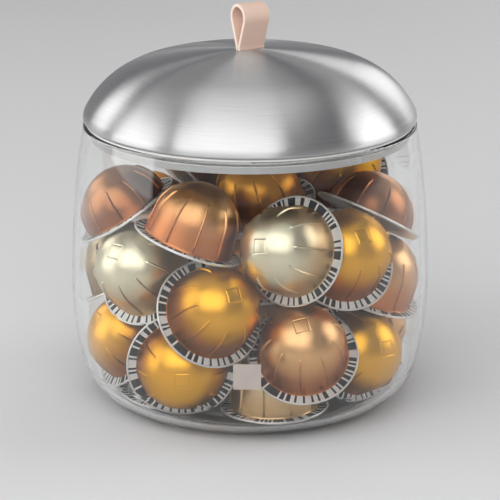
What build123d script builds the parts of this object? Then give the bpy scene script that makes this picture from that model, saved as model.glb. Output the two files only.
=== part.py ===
from build123d import *
from math import acos, asin, atan2, cos, degrees, hypot, pi, radians, sin, sqrt
import os

import numpy as np

# Capsule dispenser: a blown glass jar, a domed metal lid with a leather pull, and the
# capsules that lie in it. Millimetres, +Z up. The origin is the middle of the foot that
# the jar stands on, and -Y is the front.

# Glass jar
rim_height = 162.5
mouth_radius = 94.8
belly_swell = 8.0
belly_radius = mouth_radius + belly_swell
belly_height = 68.0
side_radius = 186.0
heel_radius = 30.0
glass_wall = 3.5
base_thickness = 4.6
push_up = 1.5
push_up_slope = 8.0
foot_width = 9.0
rim_round = 0.4 * glass_wall

# Lid dome
lid_overhang = 0.2
lid_radius = mouth_radius + lid_overhang
dome_height = 38.9
dome_sheet = 0.8
knuckle_radius = 9.0
shoulder_radius = 53.0
crown_radius = 240.0
hem_radius = 1.7
hem_leg = 1.2
slot_corner = 0.8

# Lid liner and seal
liner_sheet = 0.8
plug_depth = 7.4
skirt_clearance = 4.3
bead_reach = 3.0
channel_width = 5.0
panel_recess = 5.0
seal_wall = 1.4
seal_corner = 0.4
seal_flange = 1.1
seal_depth = 4.9
seal_lips = 2
lip_thickness = 1.1
lip_tip = 0.5

# Pull loop and its clamp
strap_width = 17.0
strap_thickness = 2.0
strap_turn = 32.0
loop_height = 26.2
loop_bulge = 7.8
loop_waist = 5.0
leg_gap = 0.3
leg_length = 13.5
clamp_width = 20.5
clamp_sheet = 1.5
clamp_ledge = 6.0
screw_spacing = 9.0
screw_radius = 1.5
screw_head_radius = 2.8
screw_head_height = 1.8
nut_flats = 5.5
nut_height = 2.4

# Capsules: a domed cup on a flange that is as thick as its rolled rim
rim_radius = 31.0
rim_thickness = 2.0
cup_radius = 25.5
cup_draft = 0.1
cup_height = {"tall": 36.0, "short": 26.5}
cup_wall_height = {"tall": 12.0, "short": 3.0}

# Clearances
seat_gap = 0.05
lip_gap = 0.1
hem_gap = 0.2
slot_gap = 0.4
hole_gap = 0.1
pile_gap = 0.3

# Where the capsules lie, as the photograph shows the front of the pile. Each row holds
# the capsule's kind, how far round the jar it is (degrees from the front, towards +X),
# how far its rim's middle lies in from the belly's outside, the height of that point, and
# where its dome points: round the jar, and up from level (degrees).
front_capsules = [
    ("short", -80, 32, 114, -81, 56),
    ("tall", -32, 36, 106, 93, 66),
    ("tall", 68, 87, 121, -44, 63),
    ("tall", 21, 35, 103, -35, 18),
    ("tall", 115, 41, 120, 0, 52),
    ("short", 77, 36, 106, 142, 69),
    ("tall", 54, 36, 91, 15, 35),
    ("tall", 86, 34, 63, 68, 67),
    ("tall", -57, 37, 78, -42, 37),
    ("tall", -97, 33, 74, -122, 60),
    ("tall", -19, 36, 67, 18, 25),
    ("tall", 32, 35, 45, -3, 52),
    ("short", -75, 33, 38, -62, 30),
    ("short", -33, 33, 35, -1, 6),
    ("tall", 16, 52, 8, -42, 84),
    ("short", 60, 34, 37, 43, 17),
    ("tall", -57, 51, 8, 0, 88),
]

# The far side and the core of the pile, in the same columns, laid out to carry the rest.
hidden_capsules = [
    ("tall", 100, 34, 38, 100, 25),
    ("short", 143, 34, 37, 150, 20),
    ("tall", 190, 34, 36, 185, 22),
    ("short", 238, 34, 37, 235, 30),
    ("tall", 128, 34, 76, 128, 35),
    ("tall", 172, 34, 78, 172, 35),
    ("short", 217, 35, 78, 214, 56),
    ("tall", 155, 36, 113, 149, 39),
    ("tall", 193, 35, 116, 200, 51),
    ("short", 241, 37, 107, 245, 62),
    ("short", 105, 53, 8, 0, 89),
    ("tall", 195, 55, 8, 0, 89),
    ("tall", 0, 98, 46, 60, 75),
    ("tall", 30, 95, 85, -20, 80),
    ("short", -130, 59, 121, 118, 66),
]

# How the pile settles: lengths in millimetres, shares of a step's push, and steps.
heart_share = 0.4
swing = 17.0
firm_share = 0.25
firm_hold = 0.1
loose_hold = 0.03
sink_rate = 0.15
coarse_step = 7.0
fine_step = 2.5
sink_steps = 300
rest_steps = 160
crossed_rims = 0.9
tiny = 1e-9


def turned(*lines):
    """Solid of revolution about Z of a closed outline drawn as (radius, height)."""
    edges = [edge for line in lines for edge in line.edges()]
    return revolve(Plane.XZ * make_face(edges), Axis.Z)


def sheet(lines, thickness, side):
    """Face of an even sheet, drawn by one of its surfaces and thickened to one side."""
    edges = [edge for line in lines for edge in line.edges()]
    outline = offset(Wire(edges), thickness, kind=Kind.INTERSECTION, side=side)
    return make_face(outline.edges())


def on_circle(centre, radius, angle):
    """Point on a circle, the angle in degrees from the +X direction."""
    return (
        centre[0] + radius * cos(radians(angle)),
        centre[1] + radius * sin(radians(angle)),
    )


# The jar's wall is three tangent arcs: heel, lower side and upper side.
side_end = degrees(acos((belly_height - heel_radius) / (side_radius - heel_radius))) - 90
heel_middle = (
    belly_radius - side_radius + (side_radius - heel_radius) * cos(radians(side_end)),
    heel_radius,
)
side_middle = (belly_radius - side_radius, belly_height)
upper_rise = rim_height - belly_height
upper_draw = belly_radius - mouth_radius
upper_radius = (upper_rise**2 + upper_draw**2) / (2 * upper_draw)
upper_middle = (belly_radius - upper_radius, belly_height)
upper_end = degrees(asin(upper_rise / upper_radius))
inner_upper = upper_radius - glass_wall
inner_upper_end = degrees(asin((rim_height - rim_round - belly_height) / inner_upper))
neck_radius = on_circle(upper_middle, inner_upper, inner_upper_end)[0]
inner_heel = heel_radius - glass_wall
floor_radius = heel_middle[0] + sqrt(inner_heel**2 - (heel_radius - base_thickness) ** 2)


def glass_jar():
    """Blown jar with a thick base, a pushed-up foot and a plain rounded mouth."""
    foot_radius = heel_middle[0] - foot_width
    rim_flat = mouth_radius - neck_radius - 2 * rim_round
    outer_top_turn = degrees(asin((upper_rise - rim_round) / upper_radius))
    outer_top = on_circle(upper_middle, upper_radius, outer_top_turn)
    outside = [
        Polyline(
            (0, push_up),
            (foot_radius - push_up_slope, push_up),
            (foot_radius, 0),
            (heel_middle[0], 0),
        ),
        CenterArc(heel_middle, heel_radius, -90, 90 + side_end),
        CenterArc(side_middle, side_radius, side_end, -side_end),
        CenterArc(upper_middle, upper_radius, 0, outer_top_turn),
    ]
    rim = [
        TangentArc(
            (neck_radius + rim_round + rim_flat, rim_height),
            outer_top,
            tangent=(1, 0),
        ),
        Line(
            (neck_radius + rim_round + rim_flat, rim_height),
            (neck_radius + rim_round, rim_height),
        ),
        CenterArc((neck_radius + rim_round, rim_height - rim_round), rim_round, 90, 90),
    ]
    floor_turn = -degrees(acos((floor_radius - heel_middle[0]) / inner_heel))
    inside = [
        CenterArc(upper_middle, inner_upper, 0, inner_upper_end),
        CenterArc(side_middle, side_radius - glass_wall, side_end, -side_end),
        CenterArc(heel_middle, inner_heel, floor_turn, side_end - floor_turn),
        Polyline((floor_radius, base_thickness), (0, base_thickness), (0, push_up)),
    ]
    return turned(*outside, *rim, *inside)


# The closed lid's heights and its skirt follow from the glass.
skirt_radius = neck_radius - skirt_clearance
seal_bottom = rim_height + seat_gap
seal_top = seal_bottom + seal_flange
liner_bottom = seal_top + seat_gap
hem_middle = (lid_radius - hem_radius, seal_top + hem_gap + hem_radius)
apex_height = hem_middle[1] + dome_height


def dome_outside():
    """Outside of the dome's sheet: a turned-in hem, then knuckle, shoulder and crown."""
    knuckle_middle = (lid_radius - knuckle_radius, hem_middle[1])
    crown_middle = (0, apex_height - crown_radius)
    # The shoulder's middle lies at a known distance from both neighbours' middles.
    span = hypot(knuckle_middle[0], knuckle_middle[1] - crown_middle[1])
    to_knuckle = shoulder_radius - knuckle_radius
    to_crown = crown_radius - shoulder_radius
    along = (to_crown**2 - to_knuckle**2 + span**2) / (2 * span)
    aside = sqrt(to_crown**2 - along**2)
    line_turn = atan2(knuckle_middle[1] - crown_middle[1], knuckle_middle[0])
    shoulder_middle = (
        along * cos(line_turn) - aside * sin(line_turn),
        crown_middle[1] + along * sin(line_turn) + aside * cos(line_turn),
    )
    knuckle_turn = degrees(
        atan2(knuckle_middle[1] - shoulder_middle[1], knuckle_middle[0] - shoulder_middle[0])
    )
    crown_turn = degrees(atan2(shoulder_middle[1] - crown_middle[1], shoulder_middle[0]))
    hem_inside = hem_middle[0] - hem_radius
    return [
        Line((hem_inside, hem_middle[1] + hem_leg), (hem_inside, hem_middle[1])),
        CenterArc(hem_middle, hem_radius, 180, 180),
        CenterArc(knuckle_middle, knuckle_radius, 0, knuckle_turn),
        CenterArc(shoulder_middle, shoulder_radius, knuckle_turn, crown_turn - knuckle_turn),
        CenterArc(crown_middle, crown_radius, crown_turn, 90 - crown_turn),
    ]


def lid_dome():
    """Spun metal dome with a turned-in hem and a slot for the strap at its top."""
    shell = revolve(Plane.XZ * sheet(dome_outside(), dome_sheet, Side.LEFT), Axis.Z)
    slot = RectangleRounded(
        strap_width + 2 * slot_gap,
        leg_stack + 2 * slot_gap,
        slot_corner,
    )
    cutter = extrude(Pos(0, 0, apex_height - shoulder_radius / 2) * slot, shoulder_radius)
    return shell - Rot(0, 0, strap_turn) * cutter


def lid_liner():
    """Steel pan under the dome: a ledge on its hem, a skirt with a bead, and a panel."""
    ledge_height = hem_middle[1] + hem_leg + seat_gap
    ledge_rise = ledge_height + liner_sheet - hem_middle[1]
    dome_inside = sqrt((knuckle_radius - dome_sheet) ** 2 - ledge_rise**2)
    ledge_edge = lid_radius - knuckle_radius + dome_inside - hem_gap
    step_radius = hem_middle[0] - hem_radius - hem_gap
    bead_top = seal_top - seal_depth - seat_gap
    bead_radius = skirt_radius + bead_reach
    channel_bottom = rim_height - plug_depth
    channel_inside = skirt_radius - channel_width
    panel_height = channel_bottom + panel_recess
    underside = Polyline(
        (ledge_edge, ledge_height),
        (step_radius, ledge_height),
        (step_radius, liner_bottom),
        (skirt_radius, liner_bottom),
        (skirt_radius, bead_top),
        (bead_radius, bead_top),
        (bead_radius, channel_bottom),
        (channel_inside, channel_bottom),
        (channel_inside, panel_height),
        (0, panel_height),
    )
    return revolve(Plane.XZ * sheet([underside], liner_sheet, Side.RIGHT), Axis.Z)


def lid_seal():
    """Silicone ring: a flange that lies on the glass, a sleeve, and lips in the mouth."""
    inside = skirt_radius + seat_gap
    outside = inside + seal_wall
    corner = seal_corner
    foot = seal_top - seal_depth
    lip_reach = neck_radius - lip_gap
    flange_reach = hem_middle[0]
    pitch = (seal_bottom - foot - lip_thickness) / seal_lips
    outline = [(inside, foot + corner), (inside + corner, foot)]
    for lip in range(seal_lips):
        root = foot + lip * pitch
        tip = root + (lip_thickness - lip_tip) / 2
        outline += [(outside, root), (lip_reach, tip), (lip_reach, tip + lip_tip)]
        outline += [(outside, root + lip_thickness)]
    outline += [
        (outside, seal_bottom),
        (flange_reach, seal_bottom),
        (flange_reach, seal_top),
        (inside + corner, seal_top),
        (inside, seal_top - corner),
    ]
    return turned(Polyline(*outline, close=True))


# The loop's strap comes down through the dome as two legs with a small gap between.
leg_stack = 2 * strap_thickness + leg_gap
leg_bottom = apex_height - leg_length
plate_face = leg_stack / 2 + seat_gap
# The corners of the plates' ledges are what meets the inside of the dome's crown.
ledge_reach = hypot(clamp_width / 2, plate_face + clamp_ledge)
crown_drop = crown_radius - sqrt((crown_radius - dome_sheet) ** 2 - ledge_reach**2)
clamp_top = apex_height - crown_drop - seat_gap
screw_height = leg_bottom + leg_length / 3


def across_strap(face, width):
    """Solid of a face drawn as (across the strap's faces, height), as wide as given."""
    return Rot(0, 0, strap_turn) * extrude(Plane.YZ * face, width / 2, both=True)


def bolt_rod(radius, start, length):
    """Rods through the clamp, one for each screw, along the strap's thickness."""
    rods = []
    for side in (-1, 1):
        place = Pos(side * screw_spacing / 2, start, screw_height) * Rot(-90, 0, 0)
        rods.append(place * Pos(0, 0, length / 2) * Cylinder(radius, length))
    return [Rot(0, 0, strap_turn) * rod for rod in rods]


def pull_loop():
    """Leather strap folded into a teardrop loop, its two legs pinned under the dome."""
    middle = (0, apex_height + loop_height - loop_bulge)
    leg = leg_stack / 2
    root = apex_height + dome_sheet
    rise = middle[1] - root
    # The straight sides touch a small arc at the root and the round top, between the two.
    apart = hypot(leg + loop_waist, rise)
    lean = atan2(rise, leg + loop_waist) - acos((loop_waist + loop_bulge) / apart)
    touch = degrees(lean)
    parting = CenterArc((leg + loop_waist, root), loop_waist, 180, -touch)
    round_top = CenterArc(middle, loop_bulge, -touch, 180 + 2 * touch)
    joining = CenterArc((-leg - loop_waist, root), loop_waist, touch, -touch)
    outside = [
        Line((leg, leg_bottom), parting @ 0),
        parting,
        Line(parting @ 1, round_top @ 0),
        round_top,
        Line(round_top @ 1, joining @ 0),
        joining,
        Line(joining @ 1, (-leg, leg_bottom)),
    ]
    strap = across_strap(sheet(outside, strap_thickness, Side.LEFT), strap_width)
    holes = bolt_rod(screw_radius + hole_gap, -plate_face, 2 * plate_face)
    return strap - holes


def clamp_plate(turn):
    """Bent plate against one face of the legs, its ledge under the dome."""
    surface = FilletPolyline(
        (plate_face, leg_bottom),
        (plate_face, clamp_top),
        (plate_face + clamp_ledge, clamp_top),
        radius=2 * clamp_sheet,
    )
    plate = across_strap(sheet([surface], clamp_sheet, Side.RIGHT), clamp_width)
    holes = bolt_rod(screw_radius + hole_gap, -plate_face - clamp_ledge, 2 * clamp_width)
    return Rot(0, 0, turn) * plate - holes


def clamp_screws():
    """Two screws through the plates and the legs, their heads on the front plate."""
    grip = plate_face + clamp_sheet
    shanks = bolt_rod(screw_radius, -grip, 2 * grip + nut_height)
    heads = bolt_rod(screw_head_radius, -grip - screw_head_height, screw_head_height)
    return [shank + head for shank, head in zip(shanks, heads)]


def clamp_nuts():
    """Two hexagon nuts on the back plate."""
    hexagon = RegularPolygon(nut_flats / 2, 6, major_radius=False)
    ring = hexagon - Circle(screw_radius + seat_gap)
    nuts = []
    for side in (-1, 1):
        place = Pos(side * screw_spacing / 2, plate_face + clamp_sheet, screw_height)
        nuts.append(Rot(0, 0, strap_turn) * place * Rot(-90, 0, 0) * extrude(ring, nut_height))
    return nuts


def cup_shape(kind):
    """Radius at the top of a cup's wall, the radius of its dome, and the dome's first turn."""
    wall = cup_wall_height[kind]
    waist = cup_radius - cup_draft * wall
    rise = cup_height[kind] - wall
    dome = (waist**2 + rise**2) / (2 * rise)
    return waist, dome, acos(waist / dome)


def capsule(kind):
    """Sealed capsule on its rim's middle plane: a disc flange and a domed cup."""
    waist, dome, first_turn = cup_shape(kind)
    top = cup_height[kind]
    half = rim_thickness / 2
    return turned(
        Polyline(
            (0, top),
            (0, -half),
            (rim_radius, -half),
            (rim_radius, half),
            (cup_radius, half),
            (waist, cup_wall_height[kind]),
        ),
        CenterArc((0, top - dome), dome, degrees(first_turn), 90 - degrees(first_turn)),
    )


def direction(around, up=0.0):
    """Unit vector that points round the jar from the front, and up from level."""
    turn, rise = radians(around), radians(up)
    return np.array([sin(turn) * cos(rise), -cos(turn) * cos(rise), sin(rise)])


def capsule_outlines(kind):
    """Two convex outlines, (radius, height), that together bound a capsule."""
    dome, first_turn = cup_shape(kind)[1:]
    half = rim_thickness / 2
    heart = cup_height[kind] - dome
    turns = np.linspace(first_turn, pi / 2, 9)
    flange = [(0, -half), (rim_radius, -half), (rim_radius, half), (0, half)]
    cup = [(0, 0), (cup_radius, 0)]
    cup += [(dome * cos(turn), heart + dome * sin(turn)) for turn in turns]
    return [np.array(flange), np.array(cup)]


def feelers(kind, spacing):
    """Points spread over a capsule's surface, in its own frame."""
    flange, cup = capsule_outlines(kind)
    rings = [flange[1], flange[2], flange[1] / 2 + flange[0] / 2]
    for start, end in zip(cup[1:-1], cup[2:]):
        count = max(1, round(hypot(*(end - start)) / spacing))
        rings += [start + (end - start) * step / count for step in range(count)]
    points = [(0, 0, cup[-1][1]), (0, 0, flange[0][1])]
    for number, (radius, height) in enumerate(rings):
        count = max(6, round(2 * pi * radius / spacing))
        for step in range(count):
            turn = 2 * pi * (step + number % 2 / 2) / count
            points.append((radius * cos(turn), radius * sin(turn), height))
    return np.array(points)


def outline_distance(outline, radius, height):
    """Distance from a convex outline, negative inside, and the way out of it."""
    nearest = np.full(radius.shape, np.inf)
    deepest = np.full(radius.shape, -np.inf)
    way = np.zeros(radius.shape + (2,))
    way_in = np.zeros(radius.shape + (2,))
    for start, end in zip(outline[:-1], outline[1:]):
        length = hypot(*(end - start))
        along = (end - start) / length
        normal = np.array([along[1], -along[0]])
        offset_r, offset_z = radius - start[0], height - start[1]
        beyond = offset_r * normal[0] + offset_z * normal[1]
        way_in[beyond > deepest] = normal
        deepest = np.maximum(deepest, beyond)
        run = np.clip(offset_r * along[0] + offset_z * along[1], 0, length)
        gap = np.stack([offset_r - run * along[0], offset_z - run * along[1]], -1)
        distance = np.hypot(gap[..., 0], gap[..., 1])
        closer = distance < nearest
        way[closer] = gap[closer] / np.maximum(distance[closer], tiny)[:, None]
        nearest = np.minimum(nearest, distance)
    inside = deepest < 0
    way[inside] = way_in[inside]
    return np.where(inside, deepest, nearest), way


def length_of(vectors):
    """Lengths of the rows of an array, in a column."""
    return np.maximum(np.linalg.norm(vectors, axis=1, keepdims=True), tiny)


def frames(axes):
    """Two unit vectors square to each axis and to each other."""
    steady = np.where(np.abs(axes[:, 2:]) < 0.9, [[0.0, 0.0, 1.0]], [[1.0, 0.0, 0.0]])
    first = np.cross(steady, axes)
    first /= length_of(first)
    return first, np.cross(axes, first)


def blend(owner, depth, points, normals, count):
    """One contact for each owner: deepest bite, mean point and mean normal."""
    total = np.bincount(owner, depth, count)
    found = np.flatnonzero(total)
    share = depth / total[owner]
    point = np.stack([np.bincount(owner, share * points[:, k], count) for k in range(3)], 1)
    normal = np.stack([np.bincount(owner, share * normals[:, k], count) for k in range(3)], 1)
    bite = np.zeros(count)
    np.maximum.at(bite, owner, depth)
    return found, bite[found], point[found], normal[found]


def capsule_bites(kinds, spots, axes, surface):
    """Contacts between capsules that come closer than the pile's gap."""
    first, second = frames(axes)
    reach = 2 * rim_radius + max(cup_height.values()) / 3
    centres = spots + axes * max(cup_height.values()) / 3
    apart = np.linalg.norm(centres[:, None] - centres[None], axis=2)
    pairs = np.argwhere((apart < reach) & (apart > 0))
    offsets = surface[pairs[:, 0]] - spots[pairs[:, 1]][:, None]
    target = pairs[:, 1]
    local = np.stack(
        [np.einsum("pnk,pk->pn", offsets, base[target]) for base in (first, second, axes)], -1
    )
    radius = np.hypot(local[..., 0], local[..., 1])
    height = local[..., 2]
    near = (radius < rim_radius + pile_gap) & (height > -rim_thickness)
    near &= height < max(cup_height.values()) + pile_gap
    pair, point = np.nonzero(near)
    radius, height, target = radius[near], height[near], target[pair]
    depth = np.full(radius.shape, -np.inf)
    way = np.zeros(radius.shape + (2,))
    for kind in cup_height:
        of_kind = kinds[target] == kind
        for outline in capsule_outlines(kind):
            distance, out = outline_distance(outline, radius[of_kind], height[of_kind])
            deeper = pile_gap - distance > depth[of_kind]
            chosen = np.flatnonzero(of_kind)[deeper]
            depth[chosen] = pile_gap - distance[deeper]
            way[chosen] = out[deeper]
    biting = depth > 0
    pair, point, target = pair[biting], point[biting], target[biting]
    depth, way, radius = depth[biting], way[biting], radius[biting]
    side = local[pair, point, :2] / np.maximum(radius, tiny)[:, None]
    normal = (way[:, :1] * side[:, :1]) * first[target]
    normal += (way[:, :1] * side[:, 1:]) * second[target] + way[:, 1:] * axes[target]
    touched = surface[pairs[pair, 0], point]
    found, bite, touched, normal = blend(pair, depth, touched, normal, len(pairs))
    one, other = pairs[found].T
    # Rims that cross push both ways at once, so they part along the line of centres.
    crossed = length_of(normal)[:, 0] < crossed_rims
    normal[crossed] = (centres[one] - centres[other])[crossed]
    return one, other, bite, touched, normal / length_of(normal)


def jar_bites(surface):
    """Contacts of each capsule with the jar's base and wall and with the lid's channel."""
    owner = np.repeat(np.arange(len(surface)), surface.shape[1])
    points = surface.reshape(-1, 3)
    radius = np.hypot(points[:, 0], points[:, 1])
    height = points[:, 2]
    side_start = side_middle[1] + side_radius * sin(radians(side_end))
    walls = [
        (upper_middle, upper_radius, height >= belly_height),
        (side_middle, side_radius, (height < belly_height) & (height >= side_start)),
        (heel_middle, heel_radius, (height < side_start) & (radius > heel_middle[0])),
    ]
    found = []
    for middle, outer, here in walls:
        reach_r, reach_z = radius[here] - middle[0], height[here] - middle[1]
        length = np.hypot(reach_r, reach_z)
        depth = length - (outer - glass_wall - pile_gap)
        inward = -reach_r / length / radius[here]
        normal = np.stack(
            [inward * points[here, 0], inward * points[here, 1], -reach_z / length], 1
        )
        found.append((owner[here], depth, points[here], normal))
    for level, way in ((base_thickness, 1), (rim_height - plug_depth, -1)):
        depth = way * (level - height) + pile_gap
        normal = np.tile([0.0, 0.0, way], (len(points), 1))
        found.append((owner, depth, points, normal))
    for owner, depth, points, normal in found:
        biting = depth > 0
        if biting.any():
            who, bite, touched, way = blend(
                owner[biting], depth[biting], points[biting], normal[biting], len(surface)
            )
            yield who, bite, touched, way / length_of(way)


def settle(rows, firm):
    """Lets the capsules sink until they rest on the glass and on each other.

    Each capsule starts where its row says. It sinks a little at every step, is pulled
    back towards its own place and lean, and is pushed out of whatever it bites into.
    The firm ones, which the photograph shows, give way less than the others do.
    """
    kinds = np.array([row[0] for row in rows])
    out = [belly_radius - row[2] for row in rows]
    spots = np.array([direction(row[1]) * r + [0, 0, row[3]] for row, r in zip(rows, out)])
    axes = np.array([direction(row[4], row[5]) for row in rows])
    hearts = np.array([cup_height[kind] for kind in kinds])[:, None] * heart_share
    yielding = np.where(np.arange(len(rows)) < firm, firm_share, 1.0)
    hold = np.where(np.arange(len(rows)) < firm, firm_hold, loose_hold)[:, None]
    home, home_axes = spots + axes * hearts, axes.copy()
    for spacing, sinking, resting in ((coarse_step, sink_steps, 0), (fine_step, 0, rest_steps)):
        touch = {kind: feelers(kind, spacing) for kind in cup_height}
        most = max(len(points) for points in touch.values())
        cloud = np.stack([np.resize(touch[kind], (most, 3)) for kind in kinds])
        for step in range(sinking + resting):
            first, second = frames(axes)
            surface = spots[:, None] + cloud[..., :1] * first[:, None]
            surface += cloud[..., 1:2] * second[:, None] + cloud[..., 2:] * axes[:, None]
            centres = spots + axes * hearts
            shift, spin = np.zeros_like(spots), np.zeros_like(spots)
            touches = np.zeros(len(rows))
            one, other, bite, touched, normal = capsule_bites(kinds, spots, axes, surface)
            arm_one = np.cross(touched - centres[one], normal)
            arm_other = np.cross(touched - centres[other], normal)
            ease_one = yielding[one] * (1 + (arm_one**2).sum(1) / swing**2)
            ease_other = yielding[other] * (1 + (arm_other**2).sum(1) / swing**2)
            push = bite / (ease_one + ease_other)
            for who, sign, arm in ((one, 1, arm_one), (other, -1, arm_other)):
                pushed = (sign * push * yielding[who])[:, None]
                np.add.at(shift, who, pushed * normal)
                np.add.at(spin, who, pushed * arm / swing**2)
                np.add.at(touches, who, 1)
            for who, bite, touched, normal in jar_bites(surface):
                arm = np.cross(touched - centres[who], normal)
                pushed = (bite / (1 + (arm**2).sum(1) / swing**2))[:, None]
                shift[who] += pushed * normal
                spin[who] += pushed * arm / swing**2
                touches[who] += 1
            share = 1 / np.sqrt(np.maximum(touches, 1))[:, None]
            centres += shift * share
            axes = axes + np.cross(spin * share, axes)
            if step < sinking:
                centres[:, 2] -= sink_rate * (1 - step / sinking)
                centres[:, :2] += hold * (home - centres)[:, :2]
                axes += hold * (home_axes - axes)
            axes /= np.linalg.norm(axes, axis=1, keepdims=True)
            spots = centres - axes * hearts
    return kinds, spots, axes


def capsules():
    """Every capsule of the pile, moved to where it came to rest."""
    shapes = {kind: capsule(kind) for kind in cup_height}
    kinds, spots, axes = settle(front_capsules + hidden_capsules, len(front_capsules))
    placed = []
    for kind, spot, axis in zip(kinds, spots, axes):
        place = Plane(origin=tuple(spot), z_dir=tuple(axis)).location
        placed.append(place * shapes[kind])
    return placed


os.makedirs("parts", exist_ok=True)
pieces = {
    "glass_jar": glass_jar(),
    "lid_dome": lid_dome(),
    "lid_liner": lid_liner(),
    "lid_seal": lid_seal(),
    "pull_loop": pull_loop(),
    "clamp_plate_front": clamp_plate(180),
    "clamp_plate_back": clamp_plate(0),
    "clamp_screws": Compound(children=clamp_screws()),
    "clamp_nuts": Compound(children=clamp_nuts()),
}
for number, shape in enumerate(capsules(), 1):
    pieces[f"capsule_{number:02d}"] = shape
for name, shape in pieces.items():
    export_step(shape, f"parts/{name}.step")
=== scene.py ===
import math

import bmesh
import bpy
from mathutils import Matrix, Vector


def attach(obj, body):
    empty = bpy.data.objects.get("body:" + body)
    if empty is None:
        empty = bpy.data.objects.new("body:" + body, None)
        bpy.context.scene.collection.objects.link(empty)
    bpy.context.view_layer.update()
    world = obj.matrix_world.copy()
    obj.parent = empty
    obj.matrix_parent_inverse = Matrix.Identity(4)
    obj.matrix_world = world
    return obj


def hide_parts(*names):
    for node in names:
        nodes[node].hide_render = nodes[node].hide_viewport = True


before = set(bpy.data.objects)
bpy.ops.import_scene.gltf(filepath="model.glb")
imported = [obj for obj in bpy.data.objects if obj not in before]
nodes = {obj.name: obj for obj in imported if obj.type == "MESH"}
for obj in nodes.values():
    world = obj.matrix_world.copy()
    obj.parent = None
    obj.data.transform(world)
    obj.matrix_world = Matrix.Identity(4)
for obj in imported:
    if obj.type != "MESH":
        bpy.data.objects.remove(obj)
bpy.ops.object.select_all(action="DESELECT")
bpy.context.view_layer.update()


# Glass jar: one thick, clear blown glass with a pushed-up foot and a rounded mouth.
# It stands on its foot, and everything else is in it or on it.
mm = 0.001


class Shade:
    """An output of a shader node. Arithmetic on it adds Math nodes, and node() any other."""

    def __init__(self, tree, socket=None):
        self.tree = tree
        self.socket = socket

    def node(self, kind, settings=(), sockets=(), output=0):
        """Adds a node, sets it, links or fills its sockets, and gives one of its outputs."""
        added = self.tree.nodes.new("ShaderNode" + kind)
        for name, value in dict(settings).items():
            if name == "stops":
                first, *others = value
                added.color_ramp.elements.remove(added.color_ramp.elements[1])
                added.color_ramp.elements[0].position = first[0]
                added.color_ramp.elements[0].color = (*first[1], 1)
                for place, colour in others:
                    added.color_ramp.elements.new(place).color = (*colour, 1)
            else:
                setattr(added, name, value)
        for name, value in dict(sockets).items():
            if isinstance(value, Shade):
                self.tree.links.new(value.socket, added.inputs[name])
            else:
                added.inputs[name].default_value = value
        return Shade(self.tree, added.outputs[output] if added.outputs else None)

    def sibling(self, output):
        """Another output of the same node."""
        return Shade(self.tree, self.socket.node.outputs[output])

    def sum(self, operation, *values):
        """A Math node on these values."""
        return self.node("Math", {"operation": operation}, enumerate(values))

    def __add__(self, other):
        return self.sum("ADD", self, other)

    __radd__ = __add__

    def __sub__(self, other):
        return self.sum("SUBTRACT", self, other)

    def __rsub__(self, other):
        return self.sum("SUBTRACT", other, self)

    def __mul__(self, other):
        return self.sum("MULTIPLY", self, other)

    __rmul__ = __mul__

    def __gt__(self, other):
        return self.sum("GREATER_THAN", self, other)

    def __lt__(self, other):
        return self.sum("LESS_THAN", self, other)

    def between(self, low, high):
        """A soft step from 0 at low to 1 at high."""
        return self.node(
            "MapRange",
            {"interpolation_type": "SMOOTHSTEP"},
            {"Value": self, "From Min": low, "From Max": high},
        )

    def mix(self, first, second):
        """The first colour where this is 0 and the second where it is 1."""
        first, second = (
            colour if isinstance(colour, Shade) else (*colour, 1) for colour in (first, second)
        )
        # A Mix node takes its colours in sockets 6 and 7 and gives their mix in output 2.
        return self.node("Mix", {"data_type": "RGBA"}, {0: self, 6: first, 7: second}, 2)


def new_finish(name):
    """An empty material and the start of its shader sums."""
    material = bpy.data.materials.new(name)
    material.use_nodes = True
    material.node_tree.nodes.clear()
    return material, Shade(material.node_tree)


def coat(start, sockets):
    """Ends a material with one principled surface."""
    surface = start.node("BsdfPrincipled", {}, sockets)
    start.node("OutputMaterial", {}, {"Surface": surface})


def paint(material, *names):
    """Gives CAD nodes a material, in place of the plain one that they came with."""
    for name in names:
        nodes[name].material_slots[0].material = material


clear_glass, start = new_finish("clear_glass")
place = start.node("TexCoord", output="Object")
swirl = start.node("TexNoise", {}, {"Vector": place, "Scale": 16.0, "Detail": 1.0})
smear = start.node("TexNoise", {}, {"Vector": place, "Scale": 60.0, "Detail": 3.0})
coat(
    start,
    {
        "Base Color": swirl.mix((0.985, 0.995, 0.99), (0.995, 1.0, 0.998)),
        "Roughness": smear.between(0.45, 0.8) * 0.012,
        "Transmission Weight": 1.0,
        "IOR": 1.47,
        "Normal": start.node(
            "Bump", {}, {"Strength": 0.005, "Distance": 0.3 * mm, "Height": swirl}
        ),
    },
)
paint(clear_glass, "glass_jar")


# Coffee capsules: drawn aluminium cups with a rolled edge, ten pressed ribs and a printed
# ring of bars, each closed underneath by a foil. They lie in the jar as they fell.
capsules = 32
rim_radius = 30.95
rim_half_thickness = 1.0
roll_width = 1.1
roll_height = 1.5
roll_arc = 280.0
web_height = 0.3
ring_edge = 29.9
foot_radius = 25.6
fillet_reach = 0.1
fillet_height = 0.35
cup_radius = 25.1
foil_height = -0.45
foil_margin = 1.0
foil_inset = 0.1

# Height of each kind of cup, and the height and radius at which its wall meets its dome.
# The dome is drawn a little smaller than the solid's, to leave room for the ribs.
cups = {"tall": (36.0, 12.0, 24.3), "short": (26.5, 3.0, 25.2)}
tall_from = 32.0
dome_draw = 0.6

# How far the wall is drawn in where the ribs start, after their run-in, and at mid height.
wall_draw = (0.15, 0.25, 0.65)

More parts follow.
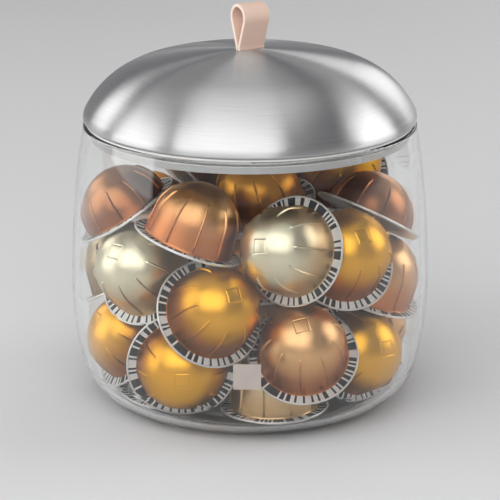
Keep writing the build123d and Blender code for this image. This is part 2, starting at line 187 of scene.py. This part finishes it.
# Ribs end at an angle from the pole. Each of the two steps that lift one gives the share of
# its half width that moves and the share of its rise. A few capsules have their ribs turned.
ribs = 10
rib_half_width = 0.65
rib_rise = 0.85
rib_steps = ((0.85, 0.7), (0.2, 0.3))
rib_start = 1.5
rib_run_in = 0.8
rib_end = 47.0
rib_blunt = 2.0
rib_taper = 0.3
rib_turns = {4: 10, 6: 10, 7: 8, 8: 12, 12: 17, 15: -10}

# The mesh, with how near counts as touching and how alike as facing the same way.
columns = 100
dome_rings = 16
roll_rings = 8
hair = 0.01
same_way = 0.9999

# The parts of a cup lie one after another up its UV map, the shell's pole lowest.
shell_band = 0.05
shell_spread = 0.35
ring_band = 0.5
ring_spread = 40.0
roll_band = 0.7
foil_band = 0.8
foil_spread = 200.0
band_margin = 0.05

# The bars printed round the ring, the square pressed into the pole, and the bare metal.
bars_round = 150
bar_share = 0.5
ring_white = (0.95, 0.95, 0.93)
bar_ink = (0.015, 0.015, 0.018)
square_side = 7.6
square_line = 0.6
bare_roll = (0.92, 0.92, 0.91)
bare_foil = (0.78, 0.78, 0.77)

# Each lacquer is its own colour at the pole and darkens to a painted shade towards the foot,
# over faint drawing lines.
drawn_round = 150.0
drawn_up = 9.0
dulling = 0.9
# Where the painted shade starts and where it is full, on the band up the UV map.
painted_shade_fade = (0.09, 0.34)
# Each pair is the lacquer's own colour and the painted shade that it darkens to at the foot.
lacquers_and_painted_shades = {
    "capsule_bronze": ((0.60, 0.28, 0.12), (0.34, 0.12, 0.045)),
    "capsule_copper": ((0.88, 0.52, 0.24), (0.58, 0.21, 0.075)),
    "capsule_amber": ((0.82, 0.38, 0.05), (0.50, 0.18, 0.015)),
    "capsule_champagne": ((0.88, 0.82, 0.60), (0.66, 0.44, 0.22)),
    "capsule_gold": ((0.93, 0.47, 0.04), (0.37, 0.11, 0.008)),
    "capsule_tan": ((0.52, 0.42, 0.26), (0.34, 0.24, 0.13)),
    "capsule_silver": ((0.72, 0.72, 0.70), (0.50, 0.50, 0.50)),
}


def pick(kind, test):
    """Selects, in edit mode, the vertices, edges or faces with all corners passing a test."""
    mesh = bmesh.from_edit_mesh(bpy.context.object.data)
    bpy.ops.mesh.select_all(action="DESELECT")
    kinds = ("verts", "edges", "faces")
    bpy.context.tool_settings.mesh_select_mode = [each == kind for each in kinds]
    for part in getattr(mesh, kind):
        corners = [part] if kind == "verts" else part.verts
        part.select = all(test(corner.co) for corner in corners)
    mesh.select_flush_mode()
    bmesh.update_edit_mesh(bpy.context.object.data)


def rings_of_cup(wall, dome, dome_middle):
    """Radius and height of each ring of a capsule, from the foil's edge to the dome."""
    rings = [(ring_edge - foil_margin, foil_height), (ring_edge - foil_inset, foil_height)]
    for step in range(roll_rings + 1):
        angle = math.radians(roll_arc * (step / roll_rings - 0.5))
        across = rim_radius - roll_width / 2 * (1 - math.cos(angle))
        rings.append((across, roll_height / 2 * math.sin(angle)))
    rings += [(ring_edge, web_height), (foot_radius, web_height)]
    rings.append((cup_radius + fillet_reach, web_height + fillet_height))
    rings.append((cup_radius - wall_draw[0], rib_start))
    rings.append((cup_radius - wall_draw[1], rib_start + rib_run_in))
    if wall > 4 * rib_start:
        rings.append((cup_radius - wall_draw[2], wall / 2))
    # Two more rings make the ribs' upper ends blunt.
    first = math.asin((wall - dome_middle) / dome)
    blunt = [math.radians(90 - rib_end), math.radians(90 - rib_blunt - rib_end)]
    even = [first + (math.pi / 2 - first) * step / dome_rings for step in range(dome_rings)]
    clear = [turn for turn in even if abs(turn - sum(blunt) / 2) > math.radians(rib_blunt)]
    for turn in sorted(blunt + clear):
        rings.append((dome * math.cos(turn), dome_middle + dome * math.sin(turn)))
    return rings


def from_rib(point):
    """Distance of a point from the nearest rib's plane, along the cup's round."""
    turns = math.atan2(point.y, point.x) * ribs / (2 * math.pi)
    return abs(turns - round(turns)) * 2 * math.pi / ribs * math.hypot(point.x, point.y)


def raise_ribs(dome, dome_middle):
    """Bevels the cup's edges along the ribs and lifts their middles in two steps."""
    low = rib_start * mm
    high = (dome_middle + dome * math.cos(math.radians(rib_end))) * mm
    near = hair * mm
    taper = rib_taper * mm
    pick("edges", lambda point: from_rib(point) < near and low - near < point.z < high + near)
    bpy.ops.mesh.bevel(offset=rib_half_width * mm, segments=4, affect="EDGES")
    for reach, part in rib_steps:
        half = reach * rib_half_width * mm
        pick(
            "verts",
            lambda point: from_rib(point) < half and low + taper < point.z < high - taper,
        )
        share = 1 + part * rib_rise / dome
        bpy.ops.transform.resize(
            value=(share, share, share), center_override=(0, 0, dome_middle * mm)
        )


def cup_model(kind):
    """A capsule at the origin, drawn ring by ring from its foil to its pole."""
    top, wall, waist = cups[kind]
    top -= dome_draw
    waist -= dome_draw
    dome = (waist**2 + (top - wall) ** 2) / (2 * (top - wall))
    dome_middle = top - dome
    rings = rings_of_cup(wall, dome, dome_middle)
    radius, height = rings[0]
    bpy.ops.mesh.primitive_circle_add(
        vertices=columns, radius=radius * mm, location=(0, 0, height * mm), fill_type="TRIFAN"
    )
    cup = bpy.context.object
    bpy.ops.object.transform_apply()
    bpy.ops.object.mode_set(mode="EDIT")
    pick("edges", lambda point: point.xy.length > (radius - hair) * mm)
    for next_radius, next_height in rings[1:]:
        rise = (next_height - height) * mm
        share = next_radius / radius
        bpy.ops.mesh.extrude_edges_move(TRANSFORM_OT_translate={"value": (0, 0, rise)})
        bpy.ops.transform.resize(value=(share, share, 1), center_override=(0, 0, 0))
        radius, height = next_radius, next_height
    rise = (top - height) * mm
    bpy.ops.mesh.extrude_edges_move(TRANSFORM_OT_translate={"value": (0, 0, rise)})
    bpy.ops.mesh.merge(type="CENTER")
    raise_ribs(dome, dome_middle)
    bpy.ops.mesh.select_all(action="SELECT")
    bpy.ops.mesh.normals_make_consistent(inside=False)
    bpy.ops.object.mode_set(mode="OBJECT")
    bpy.ops.object.shade_smooth_by_angle(angle=math.radians(41))
    wrap_cup(cup.data, top * mm)
    return cup


def wrap_cup(mesh, top):
    """UV maps of a cup: its turn across and its bands upwards, and the view from above."""
    mesh.uv_layers.new(name="crown")
    mesh.uv_layers.new(name="wrap")
    crown = mesh.uv_layers["crown"]
    wrap = mesh.uv_layers["wrap"]
    for face in mesh.polygons:
        low = min(mesh.vertices[corner].co.z for corner in face.vertices)
        out = face.center.xy.length / mm
        middle_turn = math.atan2(face.center.y, face.center.x) / (2 * math.pi)
        for loop in face.loop_indices:
            point = mesh.vertices[mesh.loops[loop].vertex_index].co
            turn = math.atan2(point.y, point.x) / (2 * math.pi)
            turn += round(middle_turn - turn)
            if low > 0 and out < foot_radius:
                band = shell_band + shell_spread * (1 - point.z / top)
            elif low > 0 and out < ring_edge:
                band = ring_band + (point.xy.length / mm - foot_radius) / ring_spread
            elif out > ring_edge - foil_inset:
                band = roll_band
            else:
                band = foil_band + point.xy.length / mm / foil_spread
            wrap.data[loop].uv = (turn, band)
            crown.data[loop].uv = point.xy / mm


def capsule_finish(name, lacquer_and_painted_shade):
    """Lacquered cup darkened by painted shade towards the foot, printed ring, bare rolled edge
    and foil, by the bands of the UV map.
    """
    pale, painted_foot_shade = lacquer_and_painted_shade
    material, start = new_finish(name + "_finish")
    wrapped = start.node("UVMap", {"uv_map": "wrap"})
    turn = start.node("SeparateXYZ", {}, {"Vector": wrapped})
    band = turn.sibling(1)
    place = start.node("TexCoord", output="Object")
    cloud = start.node("TexNoise", {}, {"Vector": place, "Scale": 70.0, "Detail": 2.0})
    grain = start.node("TexNoise", {}, {"Vector": place, "Scale": 500.0, "Detail": 2.0})
    stretched = start.node("CombineXYZ", {}, {"X": turn * drawn_round, "Y": band * drawn_up})
    drawn = start.node("TexNoise", {}, {"Vector": stretched, "Scale": 1.0, "Detail": 2.0})
    cell = start.sum("FLOOR", turn * float(bars_round))
    chance = start.node("TexWhiteNoise", {"noise_dimensions": "1D"}, {"W": cell})
    inked = chance < bar_share
    above = start.node("UVMap", {"uv_map": "crown"})
    reach = start.node("VectorMath", {"operation": "ABSOLUTE"}, {0: above})
    across = start.node("SeparateXYZ", {}, {"Vector": reach})
    from_middle = start.sum("MAXIMUM", across, across.sibling(1))
    pressed = start.sum("ABSOLUTE", from_middle - square_side / 2).between(square_line, 0.0)
    printed = (band > ring_band - band_margin) * (band < roll_band - band_margin)
    rolled = (band > roll_band - band_margin) * (band < foil_band - band_margin)
    foiled = band > foil_band - band_margin
    clouded = cloud.mix(tuple(dulling * part for part in pale), pale)
    # Painted shade: the lacquer darkens from the pole towards the foot.
    shell = band.between(*painted_shade_fade).mix(clouded, painted_foot_shade)
    colour = printed.mix(shell, inked.mix(ring_white, bar_ink))
    colour = rolled.mix(colour, bare_roll)
    colour = foiled.mix(colour, bare_foil)
    coat(
        start,
        {
            "Base Color": colour,
            "Metallic": 1.0 - printed * 0.9 - rolled * 0.5,
            "Roughness": drawn * 0.08 + 0.35 + printed * 0.05,
            "Normal": start.node(
                "Bump",
                {},
                {"Strength": 1.0, "Distance": 0.22 * mm, "Height": grain * 0.025 - pressed},
            ),
        },
    )
    return material


def seat_of(name):
    """A capsule's place, axis and kind, read from the largest flat side of its node."""
    faces = nodes[name].data.polygons
    flat = max(faces, key=lambda face: face.area).normal.copy()
    sides = []
    for way in (1, -1):
        sides.append([face for face in faces if face.normal.dot(way * flat) > same_way])
    under = max(sides, key=lambda side: sum(face.area for face in side))
    area = sum(face.area for face in under)
    middle = sum((face.center * face.area for face in under), Vector()) / area
    axis = flat if under is sides[1] else -flat
    reach = max((vertex.co - middle).dot(axis) for vertex in nodes[name].data.vertices)
    kind = "tall" if reach > tall_from * mm else "short"
    return middle + axis * rim_half_thickness * mm, axis, kind


models = {kind: cup_model(kind) for kind in cups}
finishes = {slot: capsule_finish(slot, lacquer_and_painted_shade) for slot, lacquer_and_painted_shade in lacquers_and_painted_shades.items()}
for number in range(1, capsules + 1):
    name = f"capsule_{number:02d}"
    spot, axis, kind = seat_of(name)
    slot = nodes[name].material_slots[0].material.name
    across = Vector((0, 0, 1)).cross(axis).normalized()
    spin = Matrix.Rotation(math.radians(rib_turns.get(number, 0)), 3, axis)
    across = spin @ across
    seat = Matrix((across, axis.cross(across), axis)).transposed().to_4x4()
    seat.translation = spot
    mesh = models[kind].data.copy()
    mesh.transform(seat)
    mesh.materials.append(finishes[slot])
    cup = bpy.data.objects.new(f"cup_and_foil_{number:02d}", mesh)
    bpy.context.collection.objects.link(cup)
    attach(cup, "jar")
    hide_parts(name)
for model in models.values():
    bpy.data.objects.remove(model)


# Lid seal: a silicone ring on the liner's skirt, whose two lips press on the jar's neck.
# Its flange lies between the mouth and the liner's bead.
silicone, start = new_finish("grey_silicone")
place = start.node("TexCoord", output="Object")
dust = start.node("TexNoise", {}, {"Vector": place, "Scale": 300.0, "Detail": 3.0})
coat(
    start,
    {
        "Base Color": dust.mix((0.78, 0.77, 0.75), (0.86, 0.85, 0.83)),
        "Roughness": dust * 0.2 + 0.4,
        "Normal": start.node(
            "Bump", {}, {"Strength": 0.2, "Distance": 0.05 * mm, "Height": dust}
        ),
    },
)
paint(silicone, "lid_seal")


# Lid: a spun dome with a rolled hem over a pressed liner pan, both brushed while turning.
# The brush's lines run round the lid, so that light lies across them in fans.
dome_lines = 0.45
liner_lines = 0.4
line_breaks = 3.0


def turned_steel(name, colours, roughness, anisotropy, line_width):
    """Steel brushed round the object's axis."""
    material, start = new_finish(name)
    place = start.node("TexCoord", output="Object")
    level = start.node(
        "VectorMath", {"operation": "MULTIPLY"}, {0: place, 1: (1.0, 1.0, 0.0)}
    )
    radius = start.node("VectorMath", {"operation": "LENGTH"}, {0: level}, 1)
    heading = start.node("VectorMath", {"operation": "NORMALIZE"}, {0: level})
    sideways = start.node("SeparateXYZ", {}, {"Vector": heading})
    ahead = sideways.sibling(1)
    fine = start.node(
        "CombineXYZ",
        {},
        {
            "X": radius * (1 / (line_width * mm)),
            "Y": sideways * line_breaks,
            "Z": ahead * line_breaks,
        },
    )
    lines = start.node("TexNoise", {}, {"Vector": fine, "Scale": 1.0, "Detail": 3.0})
    broad = start.node("TexNoise", {}, {"Vector": place, "Scale": 25.0, "Detail": 2.0})
    coat(
        start,
        {
            "Base Color": lines.mix(*colours),
            "Metallic": 1.0,
            "Roughness": lines * 0.08 + broad * 0.05 + roughness,
            "Anisotropic": anisotropy,
            "Anisotropic Rotation": 0.25,
            "Normal": start.node(
                "Bump", {}, {"Strength": 0.15, "Distance": 0.02 * mm, "Height": lines}
            ),
        },
    )
    return material


dome_greys = ((0.49, 0.49, 0.49), (0.64, 0.64, 0.64))
liner_greys = ((0.55, 0.55, 0.54), (0.62, 0.62, 0.61))
paint(turned_steel("brushed_steel", dome_greys, 0.27, 0.97, dome_lines), "lid_dome")
paint(turned_steel("liner_steel", liner_greys, 0.22, 0.4, liner_lines), "lid_liner")


# Clamp: two bent plates, two screws and two nuts that hold the strap's legs under the
# dome. They are plain pressed and zinc-plated steel, hidden between the dome and the liner.


def plain_steel(name, colours, roughness):
    """Steel with the mottle of a plated or rolled sheet."""
    material, start = new_finish(name)
    place = start.node("TexCoord", output="Object")
    mottle = start.node("TexNoise", {}, {"Vector": place, "Scale": 400.0, "Detail": 3.0})
    coat(
        start,
        {
            "Base Color": mottle.mix(*colours),
            "Metallic": 1.0,
            "Roughness": mottle * 0.15 + roughness,
        },
    )
    return material


rolled_greys = ((0.50, 0.50, 0.50), (0.60, 0.60, 0.60))
zinc_greys = ((0.60, 0.61, 0.63), (0.70, 0.70, 0.70))
rolled_steel = plain_steel("rolled_steel", rolled_greys, 0.35)
bright_zinc = plain_steel("bright_zinc", zinc_greys, 0.25)
paint(rolled_steel, "clamp_plate_front", "clamp_plate_back")
paint(bright_zinc, "clamp_screws", "clamp_nuts")


# Pull loop: one strap of pale vegetable-tanned leather folded into a teardrop. Its edges
# are rounded and burnished, and its legs go down through the dome's slot to the clamp.
strap_width = 16.8
strap_thickness = 1.9
strap_turn = 32.0
leg_middle = 1.15
leg_bottom = 190.95
loop_root = 205.25
loop_middle = 222.85
loop_radius = 6.8
loop_waist = 6.0
edge_round = 0.6
edge_fade = (0.7, 0.1)
arc_steps = 8
loop_steps = 40

rise = loop_middle - loop_root
parting = leg_middle + loop_waist
apart = math.hypot(rise, parting)
touch = math.atan2(rise, parting) - math.acos((loop_waist + loop_radius) / apart)
straight = math.sqrt(apart**2 - (loop_waist + loop_radius) ** 2)


def strap_grows(distance, lean):
    """A straight run of the strap, leaning back by an angle."""
    step = Vector((0, math.sin(lean), math.cos(lean))) * distance * mm
    bpy.ops.mesh.extrude_region_move(TRANSFORM_OT_translate={"value": step})


def strap_turns(steps, angle, middle):
    """A bend of the strap about a point given by its place back and its height."""
    bpy.ops.mesh.spin(
        steps=steps, angle=angle, center=(0, middle[0] * mm, middle[1] * mm), axis=(1, 0, 0)
    )


bpy.ops.mesh.primitive_plane_add(size=1, location=(0, leg_middle * mm, leg_bottom * mm))
strap = bpy.context.object
strap.name = "leather_loop"
strap.scale = (strap_width * mm, strap_thickness * mm, 1)
bpy.ops.object.transform_apply()
bpy.ops.object.mode_set(mode="EDIT")
bpy.ops.mesh.select_all(action="SELECT")
bpy.ops.mesh.bevel(offset=edge_round * mm, segments=4, affect="VERTICES")
strap_grows(loop_root - leg_bottom, 0)
strap_turns(arc_steps, touch, (parting, loop_root))
strap_grows(straight, touch)
strap_turns(loop_steps, -math.pi - 2 * touch, (0, loop_middle))
strap_grows(-straight, -touch)
strap_turns(arc_steps, touch, (-parting, loop_root))
strap_grows(leg_bottom - loop_root, 0)
bpy.ops.mesh.select_all(action="SELECT")
bpy.ops.mesh.normals_make_consistent(inside=False)
bpy.ops.object.mode_set(mode="OBJECT")
bpy.ops.object.shade_smooth_by_angle(angle=math.radians(50))
strap.rotation_euler.z = math.radians(strap_turn)
bpy.ops.object.transform_apply()

leather, start = new_finish("pale_leather")
place = start.node("TexCoord", output="Object")
across = (math.cos(math.radians(strap_turn)), math.sin(math.radians(strap_turn)), 0.0)
offset = start.node("VectorMath", {"operation": "DOT_PRODUCT"}, {0: place, 1: across}, 1)
fade_from, fade_to = ((strap_width / 2 - inset) * mm for inset in edge_fade)
edge = start.sum("ABSOLUTE", offset).between(fade_from, fade_to)
cloud = start.node("TexNoise", {}, {"Vector": place, "Scale": 90.0, "Detail": 3.0})
pores = start.node("TexVoronoi", {}, {"Vector": place, "Scale": 1800.0})
hide = start.node("TexNoise", {}, {"Vector": place, "Scale": 700.0, "Detail": 4.0})
grain_side = cloud.mix((0.64, 0.45, 0.355), (0.73, 0.53, 0.43))
coat(
    start,
    {
        "Base Color": edge.mix(grain_side, (0.82, 0.67, 0.57)),
        "Roughness": hide * 0.2 + 0.5,
        "Normal": start.node(
            "Bump", {}, {"Strength": 0.35, "Distance": 0.08 * mm, "Height": pores + hide}
        ),
    },
)
strap.data.materials.append(leather)
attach(strap, "lid")
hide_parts("pull_loop")


# Front plate: a bare, thin square of satin metal foil stuck on the glass at the front.
# It starts flat in front of the jar, is pressed on to the glass, and then gets its wall.
plate_side = 15.2
plate_height = 43.6
plate_offset = -1.6
plate_start = 120.0
plate_thickness = 0.35
glue_gap = 0.02

bpy.ops.mesh.primitive_grid_add(
    x_subdivisions=16,
    y_subdivisions=16,
    size=plate_side * mm,
    location=(plate_offset * mm, -plate_start * mm, plate_height * mm),
    rotation=(math.pi / 2, 0, 0),
)
plate = bpy.context.object
plate.name = "front_plate"
bpy.ops.object.transform_apply()
bend = plate.modifiers.new("bend", "SHRINKWRAP")
bend.target = nodes["glass_jar"]
bend.wrap_method = "PROJECT"
bend.use_project_y = True
bend.use_positive_direction = True
bend.offset = glue_gap * mm
bpy.ops.object.modifier_apply(modifier="bend")
wall = plate.modifiers.new("wall", "SOLIDIFY")
wall.thickness = plate_thickness * mm
wall.offset = 1
bpy.ops.object.modifier_apply(modifier="wall")
bpy.ops.object.shade_smooth_by_angle(angle=math.radians(40))

satin, start = new_finish("satin_foil")
place = start.node("TexCoord", output="Object")
sheen = start.node("TexNoise", {}, {"Vector": place, "Scale": 120.0, "Detail": 3.0})
coat(
    start,
    {
        "Base Color": sheen.mix((0.50, 0.44, 0.40), (0.59, 0.52, 0.47)),
        "Metallic": 0.5,
        "Roughness": sheen * 0.15 + 0.38,
    },
)
plate.data.materials.append(satin)
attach(plate, "jar")


# Studio: a plain pale floor under a dim sky that darkens upwards, six soft boxes whose
# light lies on the lid in fans, and the camera at the photograph's height and distance.
floor_size = 12.0
sky_tones = (
    (0.0, (0.34, 0.34, 0.35)),
    (0.25, (0.24, 0.24, 0.25)),
    (0.8, (0.16, 0.16, 0.17)),
)
box_distance = 1.9
aim_height = 0.1
look_height = 0.0853
camera_distance = 1.5
camera_elevation = math.radians(16.85)
camera_lens = 186.84

bpy.ops.mesh.primitive_plane_add(size=floor_size, location=(0, 0, 0))
floor = bpy.context.object
floor.name = "floor"
paper, start = new_finish("pale_paper")
place = start.node("TexCoord", output="Object")
cloud = start.node("TexNoise", {}, {"Vector": place, "Scale": 2.0, "Detail": 2.0})
coat(
    start,
    {
        "Base Color": cloud.mix((0.64, 0.64, 0.64), (0.66, 0.66, 0.66)),
        "Roughness": 0.7,
    },
)
floor.data.materials.append(paper)

world = bpy.data.worlds.new("studio")
bpy.context.scene.world = world
world.use_nodes = True
world.node_tree.nodes.clear()
start = Shade(world.node_tree)
heading = start.node("TexCoord", output="Generated")
up = start.node("SeparateXYZ", {}, {"Vector": heading}, 2)
sky = start.node("ValToRGB", {"stops": sky_tones}, {"Fac": up})
glow = start.node("Background", {}, {"Color": sky, "Strength": 1.0})
start.node("OutputWorld", {}, {"Surface": glow})


def around(turn, height):
    """A place at a turn from the front and an angle above the floor, in degrees."""
    turn = math.radians(turn)
    height = math.radians(height)
    level = box_distance * math.cos(height)
    return level * math.sin(turn), -level * math.cos(turn), box_distance * math.sin(height)


def soft_box(name, place, size, power):
    """A soft box that faces the jar."""
    lamp = bpy.data.lights.new(name, "AREA")
    lamp.shape = "RECTANGLE"
    lamp.size, lamp.size_y = size
    lamp.energy = power
    box = bpy.data.objects.new(name, lamp)
    box.location = place
    facing = Vector((0, 0, aim_height)) - Vector(place)
    box.rotation_euler = facing.to_track_quat("-Z", "Y").to_euler()
    bpy.context.collection.objects.link(box)


soft_box("top_box", (0.0, 0.1, 2.0), (1.8, 1.8), 9)
soft_box("front_box", around(-17, 39), (2.4, 1.6), 28)
soft_box("left_box", around(-85, 21), (1.35, 1.7), 15.5)
soft_box("right_box", around(98, 26), (1.2, 1.2), 12)
soft_box("right_back_box", around(152, 22), (1.0, 0.8), 3.8)
soft_box("left_back_box", around(-128, 24), (0.7, 0.8), 4)

lens = bpy.data.cameras.new("camera")
lens.lens = camera_lens
camera = bpy.data.objects.new("camera", lens)
bpy.context.collection.objects.link(camera)
camera.location = (
    0,
    -camera_distance * math.cos(camera_elevation),
    look_height + camera_distance * math.sin(camera_elevation),
)
camera.rotation_euler = (math.pi / 2 - camera_elevation, 0, 0)
bpy.context.scene.camera = camera
bpy.context.scene.view_settings.view_transform = "Standard"

bpy.context.view_layer.update()
